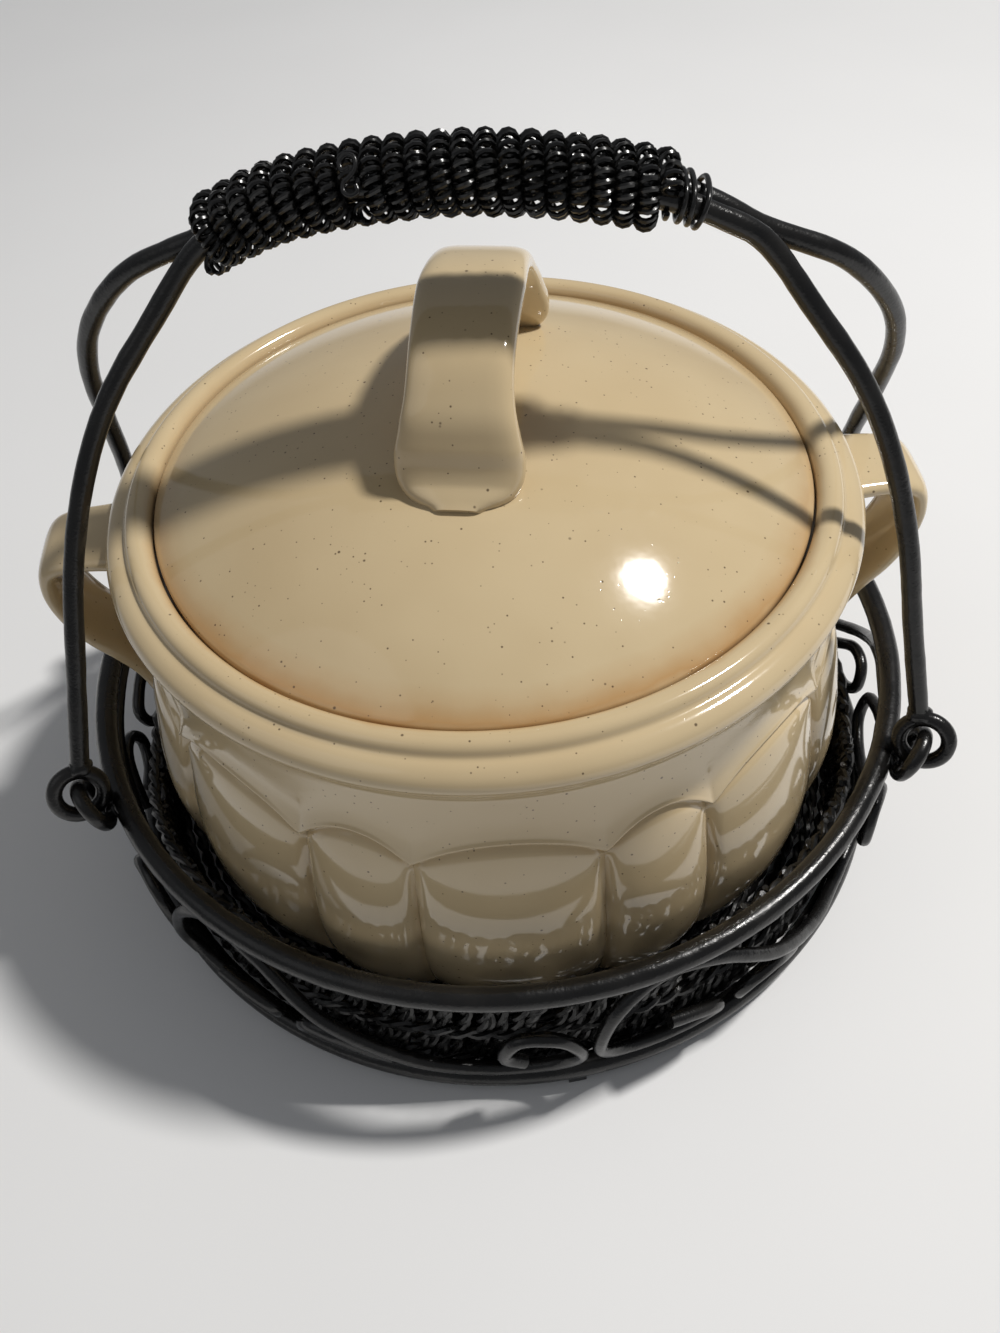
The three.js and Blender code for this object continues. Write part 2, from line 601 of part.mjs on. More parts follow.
const COIL_STEPS = 16;
const TAIL_STEPS = 12;
const rightStart = xAfter(GRIP_LEFT_END, COIL_LOOPS_LEFT * COIL_PITCH_LEFT + COIL_JOIN);
const tailStart = xAfter(rightStart, COIL_LOOPS_RIGHT * COIL_PITCH_RIGHT + TAIL_OFFSET);
const WINDINGS = [
  ["grip_coil_left", GRIP_LEFT_END, COIL_LOOPS_LEFT, COIL_PITCH_LEFT, COIL_ROD, COIL_STEPS],
  ["grip_coil_right", rightStart, COIL_LOOPS_RIGHT, COIL_PITCH_RIGHT, COIL_ROD, COIL_STEPS],
  ["grip_tail_wrap", tailStart, TAIL_LOOPS, TAIL_PITCH, TAIL_ROD, TAIL_STEPS],
];
for (const [name, fromX, loops, pitch, diameter, steps] of WINDINGS) {
  const path = woundPath(fromX, loops, pitch, diameter, steps);
  console.log(`${name}: least gap to itself ${selfGap(path, diameter, steps).toFixed(2)} mm`);
  add(bail, name, rod(path, diameter, 6), iron());
}

pot.rotation.z = rad(POT_TURN);
lid.rotation.z = rad(POT_TURN);
const assembly = new THREE.Group();
assembly.add(pot, lid, rack, bail);
export default assembly;
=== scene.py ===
"""Lidded stoneware bean pot in a black iron wire carrier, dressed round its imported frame."""
import math

import bmesh
import bpy
from mathutils import Matrix, Vector, noise


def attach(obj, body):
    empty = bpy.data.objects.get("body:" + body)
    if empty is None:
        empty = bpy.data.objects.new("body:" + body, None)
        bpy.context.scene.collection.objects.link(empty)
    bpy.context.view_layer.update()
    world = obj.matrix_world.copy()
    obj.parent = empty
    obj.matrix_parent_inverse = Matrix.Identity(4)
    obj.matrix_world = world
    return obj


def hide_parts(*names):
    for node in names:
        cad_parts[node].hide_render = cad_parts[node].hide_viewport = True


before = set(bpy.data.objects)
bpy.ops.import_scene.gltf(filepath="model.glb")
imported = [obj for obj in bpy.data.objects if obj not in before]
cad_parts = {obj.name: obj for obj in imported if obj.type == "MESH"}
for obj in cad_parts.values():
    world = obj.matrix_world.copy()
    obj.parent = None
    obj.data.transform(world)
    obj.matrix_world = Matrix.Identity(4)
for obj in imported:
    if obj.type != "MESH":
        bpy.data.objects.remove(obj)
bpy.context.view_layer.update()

MM = 0.001
TURN = 2 * math.pi
rad = math.radians

# Sizes in millimetres, as in the part's source but for the strap's turn, two degrees more here
RING_RADIUS = 120.0
RING_ROD = 6.5
BASE_RADIUS = 119.0
BASE_Z = 6.55
TOP_Z = 56.55
LINER_Z = 3.3
LINER_RADIUS = 115.3
LINER_WALL = 3.0
LINER_HEIGHT = 45.0
WELD_GAP = 0.3
SCROLL_COUNT = 6
SCROLL_ROD = 4.0
SCROLL_BULGE = 4.0
SCROLL_START = -38.5
EYE_TURN = 26.5
LINK_SKEW = 2.3
EYE_RADIUS = 6.5
EYE_ROD = 4.4
EYE_LEAN = 70.0
EYE_WELD_DROP = 25.0
ROD_FOOT_TILT = 24.0
RING_TILT = 24.0
LINK_GAP = 0.45
BAIL_ROD = 5.2
ARCH_TOP = 205.55
BAIL_SHIFT = 3.4
GRIP_TURN = -3.8
ROD_SPREAD_START = 13.0
ROD_SPREAD_EASE = 6.0
PAIR_HALF = 2.8
WRAP_GAP = 0.75
COIL_ROD = 4.0
COIL_PITCH_LEFT = 4.95
COIL_PITCH_RIGHT = 4.8
COIL_LOOPS_LEFT = 7
COIL_LOOPS_RIGHT = 13
COIL_JOIN = 4.8
GRIP_LEFT_END = -57.0
TAIL_ROD = 1.8
TAIL_PITCH = 2.6
TAIL_LOOPS = 3
TAIL_OFFSET = 3.6
LOOP_ROUNDING = 0.12
POT_TURN = 3.0
POT_Z = 6.6
POT_WALL = 7.0
NECK_RADIUS = 96.5
CREASE_RADIUS = 101.8
NECK_HEIGHT = 101.0
ARCH_RISE = 9.5
EAR_TURN = 2.0
EAR_WIDTH = 26.0
EAR_FOOT_WIDTH = 23.0
EAR_THICK = 5.5
EAR_REACH = 27.0
EAR_HEIGHT = 49.5
EAR_Z = 112.5
LID_RADIUS = 87.8
LID_Z = 118.4
LID_SKIRT = 4.3
DOME_RADIUS = 172.6
DOME_TOP = 147.4
LID_THICK = 6.5
STRAP_SHIFT = 4.0
STRAP_TURN = -9.3
STRAP_HALF = 37.5
STRAP_THICK = 7.0
STRAP_TOP = 174.9


def vec(x, y, z):
    return Vector((x, y, z))


def polar(radius, angle, z):
    return vec(radius * math.cos(angle), radius * math.sin(angle), z)


def lerp(a, b, share):
    return a + (b - a) * share


def bump(value, middle, width):
    return math.exp(-((value - middle) / width) ** 2)


CURVE_STEPS = 30


def evenly(points, count):
    """The same polyline with count equal steps."""
    lengths = [0.0]
    for a, b in zip(points, points[1:]):
        lengths.append(lengths[-1] + (b - a).length)
    result = []
    k = 0
    for i in range(count + 1):
        goal = lengths[-1] * i / count
        while k < len(points) - 2 and lengths[k + 1] < goal:
            k += 1
        share = (goal - lengths[k]) / max(lengths[k + 1] - lengths[k], 1e-9)
        result.append(points[k].lerp(points[k + 1], share))
    return result


def flowing(points, count):
    """An even path on a smooth curve through the points."""
    padded = [2 * points[0] - points[1], *points, 2 * points[-1] - points[-2]]
    fine = []
    for i in range(len(points) - 1):
        a, b, c, d = padded[i:i + 4]
        slope = c - a
        bend = 2 * a - 5 * b + 4 * c - d
        change = 3 * b - a - 3 * c + d
        for k in range(CURVE_STEPS):
            t = k / CURVE_STEPS
            fine.append(b + slope * (t / 2) + bend * (t * t / 2) + change * (t ** 3 / 2))
    fine.append(points[-1])
    return evenly(fine, count)


def through(knots, x):
    """The value at x of a smooth line through (x, value) knots."""
    i = 0
    while i < len(knots) - 2 and x > knots[i + 1][0]:
        i += 1

    def slope(k):
        low, high = max(k - 1, 0), min(k + 1, len(knots) - 1)
        return (knots[high][1] - knots[low][1]) / (knots[high][0] - knots[low][0])

    (x0, v0), (x1, v1) = knots[i], knots[i + 1]
    span = x1 - x0
    t = min(max((x - x0) / span, 0.0), 1.0)
    rise = t * t * (3 - 2 * t)
    lean = slope(i) * t * (1 - t) ** 2 - slope(i + 1) * t * t * (1 - t)
    return lerp(v0, v1, rise) + span * lean


# Materials
def material(name, **sockets):
    made = bpy.data.materials.new(name)
    made.use_nodes = True
    tree = made.node_tree
    shader = tree.nodes["Principled BSDF"]
    for socket, value in sockets.items():
        shader.inputs[socket.replace("_", " ")].default_value = value
    return made, tree, shader


def node(tree, kind, links=(), **settings):
    made = tree.nodes.new(kind)
    for key, value in settings.items():
        if key.startswith("in_"):
            made.inputs[key[3:].replace("_", " ")].default_value = value
        else:
            setattr(made, key, value)
    for socket, source in links:
        tree.links.new(source, made.inputs[socket])
    return made


def ramp(tree, source, stops, ease="LINEAR"):
    made = node(tree, "ShaderNodeValToRGB", [("Fac", source)])
    made.color_ramp.interpolation = ease
    while len(made.color_ramp.elements) < len(stops):
        made.color_ramp.elements.new(0.5)
    for element, (place, colour) in zip(made.color_ramp.elements, stops):
        element.position = place
        shade = colour if isinstance(colour, tuple) else (colour, colour, colour)
        element.color = (*shade, 1.0)
    return made.outputs["Color"]


def mixed(tree, share, first, second, blend="MIX"):
    made = node(tree, "ShaderNodeMix", data_type="RGBA", blend_type=blend)
    for index, value in ((0, share), (6, first), (7, second)):
        if isinstance(value, (int, float)):
            made.inputs[index].default_value = value
        elif isinstance(value, tuple):
            made.inputs[index].default_value = (*value, 1.0)
        else:
            tree.links.new(value, made.inputs[index])
    return made.outputs[2]


def noise_of(tree, place, scale, detail=3.0, rough=0.55):
    made = node(
        tree, "ShaderNodeTexNoise", [("Vector", place)],
        in_Scale=scale, in_Detail=detail, in_Roughness=rough,
    )
    return made.outputs["Fac"]


CREAM = (0.63, 0.50, 0.305)
BUTTER = (0.56, 0.43, 0.25)
TAN = (0.46, 0.25, 0.085)
SPECK = (0.07, 0.04, 0.02)
SPECK_LEAST = 0.35
SPECK_SHOWN = (0.85, 0.85, 0.85)
# Distance from the axis and height, in metres, of a tan band round the lid's edge, which is stronger at
# the front than at the back
TAN_REACH = [(0.0840, 0.0), (0.0885, 0.7), (0.0905, 1.0), (0.0925, 0.0)]
TAN_HEIGHT = [(0.1165, 0.0), (0.1175, 1.0), (0.1290, 1.0), (0.1300, 0.0)]
TAN_RAGGED = 0.006
TAN_FRONT = 0.85
TAN_BACK = 0.25


def specks(tree, place, scale, size, few):
    """Round spots of many sizes in some of the cells."""
    cells = node(tree, "ShaderNodeTexVoronoi", [("Vector", place)], in_Scale=scale)
    random = node(tree, "ShaderNodeSeparateColor", [("Color", cells.outputs["Color"])])
    reach = node(tree, "ShaderNodeMath", [(0, random.outputs["Green"])], operation="ADD")
    reach.inputs[1].default_value = SPECK_LEAST
    parts = [(0, cells.outputs["Distance"]), (1, reach.outputs[0])]
    spread = node(tree, "ShaderNodeMath", parts, operation="DIVIDE")
    dots = ramp(tree, spread.outputs[0], [(size * 0.7, 1.0), (size * 1.4, 0.0)])
    picked = ramp(tree, random.outputs["Red"], [(few, 0.0), (few + 0.04, 1.0)])
    return mixed(tree, 1.0, dots, picked, "MULTIPLY")


def glaze_material():
    made, tree, shader = material("cream_glaze", IOR=1.52, Coat_Weight=0.35, Coat_Roughness=0.04)
    place = node(tree, "ShaderNodeTexCoord").outputs["Object"]
    cloud = ramp(tree, noise_of(tree, place, 14.0), [(0.35, 0.0), (0.68, 1.0)])
    colour = mixed(tree, cloud, CREAM, BUTTER)
    flat = node(tree, "ShaderNodeVectorMath", [(0, place)], operation="MULTIPLY")
    flat.inputs[1].default_value = (1, 1, 0)
    length = node(tree, "ShaderNodeVectorMath", [(0, flat.outputs[0])], operation="LENGTH")
    axes = node(tree, "ShaderNodeSeparateXYZ", [("Vector", place)]).outputs
    ragged = node(tree, "ShaderNodeMath", [(0, noise_of(tree, place, 60.0))], operation="MULTIPLY_ADD")
    ragged.inputs[1].default_value = TAN_RAGGED
    tree.links.new(length.outputs["Value"], ragged.inputs[2])
    edge = ramp(tree, ragged.outputs[0], TAN_REACH)
    over = ramp(tree, axes["Z"], TAN_HEIGHT)
    rim_band = mixed(tree, 1.0, edge, over, "MULTIPLY")
    front = node(
        tree, "ShaderNodeMapRange", [("Value", axes["Y"])],
        in_From_Min=-0.06, in_From_Max=0.02, in_To_Min=TAN_FRONT, in_To_Max=TAN_BACK,
    )
    faint = mixed(tree, 1.0, rim_band, front.outputs["Result"], "MULTIPLY")
    colour = mixed(tree, faint, colour, TAN)
    coarse = specks(tree, place, 310.0, 0.085, 0.76)
    fine = specks(tree, place, 700.0, 0.13, 0.78)
    speckle = mixed(tree, 1.0, coarse, fine, "LIGHTEN")
    shown = mixed(tree, 1.0, speckle, SPECK_SHOWN, "MULTIPLY")
    colour = mixed(tree, shown, colour, SPECK)
    tree.links.new(colour, shader.inputs["Base Color"])
    rough = ramp(tree, noise_of(tree, place, 45.0), [(0.3, 0.06), (0.75, 0.13)])
    tree.links.new(rough, shader.inputs["Roughness"])
    wave = noise_of(tree, place, 160.0, 2.0)
    pits = mixed(tree, speckle, wave, (0.0, 0.0, 0.0))
    lift = node(tree, "ShaderNodeBump", [("Height", pits)], in_Strength=0.06, in_Distance=0.0006)
    tree.links.new(lift.outputs["Normal"], shader.inputs["Normal"])
    return made


def iron_material(name, dark, worn, rough_low, rough_high, grain):
    made, tree, shader = material(name, Metallic=0.0, IOR=1.5)
    place = node(tree, "ShaderNodeTexCoord").outputs["Object"]
    patch = ramp(tree, noise_of(tree, place, 70.0, 4.0), [(0.42, 0.0), (0.78, 1.0)])
    colour = mixed(tree, patch, dark, worn)
    tree.links.new(colour, shader.inputs["Base Color"])
    rough = ramp(tree, noise_of(tree, place, 110.0), [(0.3, rough_low), (0.7, rough_high)])
    tree.links.new(rough, shader.inputs["Roughness"])
    dents = noise_of(tree, place, 240.0, 2.0)
    fine = noise_of(tree, place, 1400.0, 2.0)
    skin = mixed(tree, 0.35, dents, fine)
    lift = node(tree, "ShaderNodeBump", [("Height", skin)], in_Strength=grain, in_Distance=0.0008)
    tree.links.new(lift.outputs["Normal"], shader.inputs["Normal"])
    return made


GLAZE = glaze_material()
IRON = iron_material(
    "black_iron", (0.004, 0.0038, 0.0037), (0.012, 0.011, 0.010), 0.18, 0.32, 0.28
)
WIRE = iron_material(
    "grip_wire", (0.004, 0.0039, 0.0038), (0.009, 0.0085, 0.008), 0.18, 0.30, 0.15
)
STRANDS = iron_material(
    "basket_strand", (0.003, 0.0028, 0.0026), (0.008, 0.0075, 0.007), 0.22, 0.42, 0.45
)


# Making pieces
def wire_mesh(paths, radius, sides=12, closed=False, girth=None):
    """A round wire along each path, in metres, with its ends closed."""
    curve = bpy.data.curves.new("wire", "CURVE")
    curve.dimensions = "3D"
    curve.bevel_depth = radius * MM
    curve.bevel_resolution = sides // 2 - 2
    curve.use_fill_caps = True
    for path in paths:
        spline = curve.splines.new("POLY")
        spline.points.add(len(path) - 1)
        spline.use_cyclic_u = closed
        for i, (point, place) in enumerate(zip(spline.points, path)):
            point.co = (*(place * MM), 1.0)
            if girth:
                point.radius = girth(i / (len(path) - 1), place)
    holder = bpy.data.objects.new("wire", curve)
    mesh = bpy.data.meshes.new_from_object(holder)
    bpy.data.objects.remove(holder)
    bpy.data.curves.remove(curve)
    return mesh


LONG_DENT = 0.05
LONG_DENT_RATE = 0.16
SHORT_DENT = 0.03
SHORT_DENT_RATE = 0.5


def hammered(share, place):
    """The girth of an uneven rod, the same wherever along its path the place is."""
    long_dent = LONG_DENT * noise.noise(place * LONG_DENT_RATE)
    short_dent = SHORT_DENT * noise.noise(place * SHORT_DENT_RATE)
    return 1.0 + long_dent + short_dent


SAME_PLACE = 1e-4
SAME_PLACE_M = 2e-7


def spun(profile, steps):
    """A closed solid of revolution from a profile of (radius, height)."""
    bm = bmesh.new()
    verts = [bm.verts.new((r, 0, z)) for r, z in profile]
    edges = [bm.edges.new(pair) for pair in zip(verts, verts[1:])]
    bmesh.ops.spin(
        bm, geom=verts + edges, cent=(0, 0, 0), axis=(0, 0, 1),
        angle=TURN, steps=steps, use_merge=True,
    )
    bmesh.ops.remove_doubles(bm, verts=bm.verts, dist=SAME_PLACE)
    return bm


FACE_ROUND = 0.78


def band_section(sides, corner):
    """A rounded oblong, one unit wide and thick either way."""
    outline = []
    for k in range(sides):
        a = math.cos(TURN * k / sides)
        b = math.sin(TURN * k / sides)
        wide = math.copysign(abs(a) ** corner, a)
        thick = math.copysign(abs(b) ** FACE_ROUND, b)
        outline.append((wide, thick))
    return outline


def band(path, across, half_width, half_thick, corner, sides=32):
    """A strap along a path, its width kept along one direction."""
    bm = bmesh.new()
    ring = [bm.verts.new((a, b, 0)) for a, b in band_section(sides, corner)]
    edges = [bm.edges.new((ring[i - 1], ring[i])) for i in range(sides)]
    first = edges
    before = Matrix.Identity(4)
    last = len(path) - 1
    for i, point in enumerate(path):
        along = (path[min(i + 1, last)] - path[max(i - 1, 0)]).normalized()
        up = along.cross(across).normalized()
        axes = (across * half_width(i / last), up * half_thick(i / last), along)
        square = Matrix(axes).transposed().to_4x4()
        square.translation = point
        if i:
            grown = bmesh.ops.extrude_edge_only(bm, edges=edges)["geom"]
            ring = [e for e in grown if isinstance(e, bmesh.types.BMVert)]
            edges = [e for e in grown if isinstance(e, bmesh.types.BMEdge)]
        bmesh.ops.transform(bm, matrix=square @ before.inverted(), verts=ring)
        before = square
    for loop in (first, edges):
        bmesh.ops.edgeloop_fill(bm, edges=loop)
    return bm


WELD_LUMP = 0.22
WELD_LUMP_RATE = 1.4


def weld(place, size, seed):
    """A lumpy bead of weld."""
    bm = bmesh.new()
    bmesh.ops.create_icosphere(bm, subdivisions=3, radius=1.0)
    for v in bm.verts:
        lump = 1 + WELD_LUMP * noise.noise(v.co * WELD_LUMP_RATE + vec(seed, 0, 0))
        v.co = place + vec(v.co.x * size.x, v.co.y * size.y, v.co.z * size.z) * lump
    return bm


def piece(name, shapes, finish, body, nodes=(), sharp=55):
    """One finished object from meshes in metres and bmeshes in millimetres."""
    whole = bmesh.new()
    for shape in shapes:
        if isinstance(shape, bmesh.types.BMesh):
            bmesh.ops.scale(shape, vec=(MM, MM, MM), verts=shape.verts)
            mesh = bpy.data.meshes.new("shape")
            shape.to_mesh(mesh)
            shape.free()
            shape = mesh
        whole.from_mesh(shape)
        bpy.data.meshes.remove(shape)
    bmesh.ops.remove_doubles(whole, verts=whole.verts, dist=SAME_PLACE_M)
    bmesh.ops.recalc_face_normals(whole, faces=whole.faces)
    mesh = bpy.data.meshes.new(name)
    whole.to_mesh(mesh)
    whole.free()
    mesh.shade_smooth()
    mesh.set_sharp_from_angle(angle=rad(sharp))
    mesh.materials.clear()
    mesh.materials.append(finish)
    made = bpy.data.objects.new(name, mesh)
    bpy.context.scene.collection.objects.link(made)
    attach(made, body)
    if nodes:
        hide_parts(*nodes)
    return made


def turned_by(bm, degrees):
    about_axis = Matrix.Rotation(rad(degrees), 3, "Z")
    bmesh.ops.rotate(bm, cent=(0, 0, 0), matrix=about_axis, verts=bm.verts)
    return bm


# Pot: heights above its underside
LOBE_PAIRS = 8
LOBE_STEP = TURN / LOBE_PAIRS
WIDE_HALF = rad(27.8) / 2
NARROW_HALF = LOBE_STEP / 2 - WIDE_HALF
WIDE_COLUMNS = 26
NARROW_COLUMNS = 18
PAIR_COLUMNS = WIDE_COLUMNS + NARROW_COLUMNS
CREASE_HEIGHT = 74.4
CREASE_WALL = [
    (0, 82), (2.2, 87), (6.1, 93.9), (11.4, 97.4), (23.5, 100.6), (35.2, 101.8), (43.5, 101.8),
    (54.9, 100.9), (64.5, 99.6), (71, 98.9), (74.4, 98.5), (77, 98.1), (83, 97.3), (92, 96.7),
    (101, 96.5),
]
LOBE_SWELL = [
    (0, 0), (2.2, 0.9), (6.1, 2.4), (11.4, 3.2), (23.5, 3.9), (35.2, 4.1), (43.5, 4.1),
    (54.9, 3.8), (64.5, 2.7), (69, 1.8), (72.4, 0.8), (74.4, 0.2), (76, 0), (101, 0),
]
LOBE_ROUND = 0.62
COLUMN_CROWD = 0.75
CREASE_CUT = 1.3
CREASE_CUT_WIDTH = 1.1
RIDGE_RISE = 0.55
RIDGE_ABOVE = 2.3
RIDGE_WIDTH = 0.9
FOLD_CUT = 1.1
FOLD_CUT_WIDTH = 1.6
FOLD_START = 12
FOLD_EASE = 40
PEAK_RISE = 1.0
PEAK_ABOVE = 3.5
PEAK_WIDTH = 6.0
PEAK_HEIGHT = 3.2
ARCH_HEIGHT = 13.0
WALL_ROWS = [
    0, 0.8, 2.2, 4, 6.1, 8.5, 11.4, 15, 19, 23.5, 27.5, 31.5, 35.2, 39.5, 43.5, 47.5, 51.5, 54.9,
    58, 61, 64.5, 66.5, 68.3, 69.8, 71, 71.9, 72.6, 73.2, 73.7, 74.1, 74.4, 74.7, 75.1, 75.6, 76.1,
    76.6, 77.1, 77.7, 78.5, 80, 82, 84.5, 87.5, 91, 95, 98.5,
]
FOOT_MIDDLE = 40
RIM_STEPS = 46
INSIDE_STEPS = 30
RIM = [
    (96.5, 101), (96.7, 103), (97.4, 105), (98.9, 106.9), (100.6, 108.9), (101.45, 111.2),
    (101.2, 112.8), (100.2, 114.4), (98.4, 115.6), (96.6, 116.1), (95.7, 116.25), (95.3, 116.9),
    (94.9, 117.9), (94, 118.8), (92.6, 119.2), (91, 119.05), (89.7, 118.4), (88.8, 117.2),
    (88.45, 115.9), (88.4, 114),
]
MOUTH = [(88.4, 111.5), (83.2, 111.5), (83.2, 106)]
INSIDE = [
    (89.5, 98.9), (92.5, 72), (94.8, 43.5), (94, 31), (92, 22), (87, 14.5), (78, 9.5), (66, 8.1),
    (40, 7.6), (0, 7.5),
]


def rim_line(points, count):
    return [(p.x, p.z) for p in flowing([vec(r, 0, z) for r, z in points], count)]


def shape_pot(bm):
    """Spreads the columns over wide and narrow lobes and swells the outer wall into them."""
    for v in bm.verts:
        radius = math.hypot(v.co.x, v.co.y)
        if radius < 1e-3:
            continue
        column = (math.atan2(v.co.y, v.co.x) % TURN) * LOBE_PAIRS * PAIR_COLUMNS / TURN
        pair, step = divmod(round(column), PAIR_COLUMNS)
        centre = -math.pi / 2 + pair * LOBE_STEP
        half, columns = WIDE_HALF, WIDE_COLUMNS
        if step >= WIDE_COLUMNS:
            centre += LOBE_STEP / 2
            half, columns = NARROW_HALF, NARROW_COLUMNS
            step -= WIDE_COLUMNS
        even = -1 + 2 * step / columns
        across = lerp(even, math.sin(even * math.pi / 2), COLUMN_CROWD)
        height = v.co.z
        wall = through(CREASE_WALL, min(height, NECK_HEIGHT))
        if height < NECK_HEIGHT and radius > wall - POT_WALL / 2:
            crown = 1 - across * across
            fold = abs(abs(across) - 1) * half * wall
            radius = wall + through(LOBE_SWELL, height) * crown ** LOBE_ROUND
            radius -= CREASE_CUT * bump(height, CREASE_HEIGHT, CREASE_CUT_WIDTH)
            radius += RIDGE_RISE * bump(height, CREASE_HEIGHT + RIDGE_ABOVE, RIDGE_WIDTH)
            if height < CREASE_HEIGHT:
                lobed = min(max(height - FOLD_START, 0) / FOLD_EASE, 1.0)
                radius -= FOLD_CUT * lobed * bump(fold, 0, FOLD_CUT_WIDTH)
            peak = bump(height, CREASE_HEIGHT + PEAK_ABOVE, PEAK_HEIGHT)
            radius += PEAK_RISE * bump(fold, 0, PEAK_WIDTH) * peak
            height += ARCH_RISE * crown * bump(height, CREASE_HEIGHT, ARCH_HEIGHT)
        v.co = polar(radius, centre + across * half, POT_Z + height)


def pot_shape():
    wall = [(through(CREASE_WALL, h), h) for h in WALL_ROWS]
    rim = rim_line(RIM, RIM_STEPS)
    inside = rim_line(INSIDE, INSIDE_STEPS)
    profile = [(0, 0), (FOOT_MIDDLE, 0), *wall, *rim, *MOUTH, *inside]
    bm = spun(profile, LOBE_PAIRS * PAIR_COLUMNS)
    shape_pot(bm)
    return turned_by(bm, POT_TURN)


# Ears: shares of the reach beyond the wall and of the height down from the upper root
EAR_PATH = [
    (-0.06, 0), (0.3, -0.004), (0.62, 0.004), (0.828, 0.052), (0.876, 0.177), (0.84, 0.3125),
    (0.736, 0.458), (0.576, 0.604), (0.36, 0.74), (0.172, 0.865), (0.004, 1),
]
EAR_STEPS = 60
EAR_CORNER = 0.56
EAR_WAIST = 0.96
EAR_FLARE = 0.2
EAR_SWELL = 0.35


def ear_shape(side):
    path = []
    for out, down in EAR_PATH:
        wall = lerp(NECK_RADIUS, CREASE_RADIUS, down)
        path.append(vec(side * (wall + EAR_REACH * out), 0, EAR_Z - EAR_HEIGHT * down))

    def flare(share):
        half = lerp(EAR_WIDTH, EAR_FOOT_WIDTH, share) / 2
        return half * (EAR_WAIST + EAR_FLARE * abs(2 * share - 1) ** 6)

    def thick(share):
        return EAR_THICK / 2 * (1.0 + EAR_SWELL * abs(2 * share - 1) ** 8)

    strap = band(flowing(path, EAR_STEPS), vec(0, 1, 0), flare, thick, EAR_CORNER)
    return turned_by(strap, EAR_TURN + POT_TURN)


# Lid: distances from its axis and heights above the ground
LID_STEPS = 160
LID_ROWS = (0, 4, 9, 15, 22, 30, 38, 46, 54, 61, 67, 72, 76, 79.5, 82.5, 84.8)
LID_EDGE = [
    (86.4, 124.0), (87.3, 123.5), (87.75, 122.8), (LID_RADIUS, 121.8), (LID_RADIUS, 119.4),
    (87.5, 118.7), (86.9, LID_Z),
]
SKIRT_OUTER = 82.6
SKIRT_INNER = 78.9
UNDER_ROWS = (72, 62, 48, 32, 16, 0)


def dome_z(radius, offset=0.0):
    return DOME_TOP - DOME_RADIUS + math.sqrt((DOME_RADIUS + offset) ** 2 - radius * radius)


def lid_shape():
    top = [(r, dome_z(r)) for r in LID_ROWS]
    low = LID_Z - LID_SKIRT
    skirt = [(SKIRT_OUTER, LID_Z), (SKIRT_OUTER, low), (SKIRT_INNER, low)]
    under = [(r, dome_z(r, -LID_THICK)) for r in UNDER_ROWS]
    return turned_by(spun([*top, *LID_EDGE, *skirt, *under], LID_STEPS), POT_TURN)


# Strap: shares of its half span and of its rise above the dome, front foot first
STRAP_PATH = [
    (-1.13, -0.05), (-1.045, 0.0), (-0.965, 0.07), (-0.905, 0.2), (-0.862, 0.38), (-0.765, 0.6),
    (-0.47, 0.88), (0.05, 1), (0.57, 0.85), (0.82, 0.58), (0.9, 0.36), (0.945, 0.19), (1.0, 0.05),
    (1.07, -0.05), (1.13, -0.1),
]
STRAP_STEPS = 110
STRAP_CORNER = 0.42
STRAP_HALF_WIDTH = [
    (0, 15.8), (0.12, 15.6), (0.17, 14.4), (0.23, 13.0), (0.31, 12.5), (0.5, 13.1),
]
STRAP_TIP_THICK = 0.66
STRAP_FULL_THICK = 1.06
TONGUE = 0.125
TONGUE_ROUND = 3.0
TONGUE_LEAST = 0.36


def tongue(share):
    """How far the strap's ends are rounded off: the share of the full width, least at the tip."""
    near = max(0.0, 1 - min(share, 1 - share) / TONGUE)
    return max(math.sqrt(1 - near ** TONGUE_ROUND), TONGUE_LEAST)


def strap_shape():
    foot = dome_z(STRAP_HALF)
    path = [
        vec(0, STRAP_HALF * along + STRAP_SHIFT, lerp(foot, STRAP_TOP, up)) for along, up in STRAP_PATH
    ]

    def width(share):
        return tongue(share) * through(STRAP_HALF_WIDTH, min(share, 1 - share))

    def thick(share):
        return STRAP_THICK / 2 * lerp(STRAP_TIP_THICK, STRAP_FULL_THICK, tongue(share))

    strap = band(flowing(path, STRAP_STEPS), vec(1, 0, 0), width, thick, STRAP_CORNER)
    return turned_by(strap, STRAP_TURN + POT_TURN)


piece("glazed_pot", [pot_shape()], GLAZE, "pot", ["pot_body"], 60)
piece("glazed_ear_left", [ear_shape(-1)], GLAZE, "pot", ["pot_ear_left"])
piece("glazed_ear_right", [ear_shape(1)], GLAZE, "pot", ["pot_ear_right"])
piece("glazed_lid", [lid_shape()], GLAZE, "lid", ["lid_dome"])
piece("glazed_lid_strap", [strap_shape()], GLAZE, "lid", ["lid_strap"])


# Carrier
HOOP_STEPS = 180
ROD_SIDES = 16


def hoop_path(radius, z):
    return [polar(radius, TURN * k / HOOP_STEPS, z) for k in range(HOOP_STEPS)]


top_hoop = wire_mesh([hoop_path(RING_RADIUS, TOP_Z)], RING_ROD / 2, ROD_SIDES, True, hammered)
base_hoop = wire_mesh([hoop_path(BASE_RADIUS, BASE_Z)], RING_ROD / 2, ROD_SIDES, True)
piece("iron_top_ring", [top_hoop], IRON, "carrier", ["top_ring"])
piece("iron_base_ring", [base_hoop], IRON, "carrier", ["base_ring"])

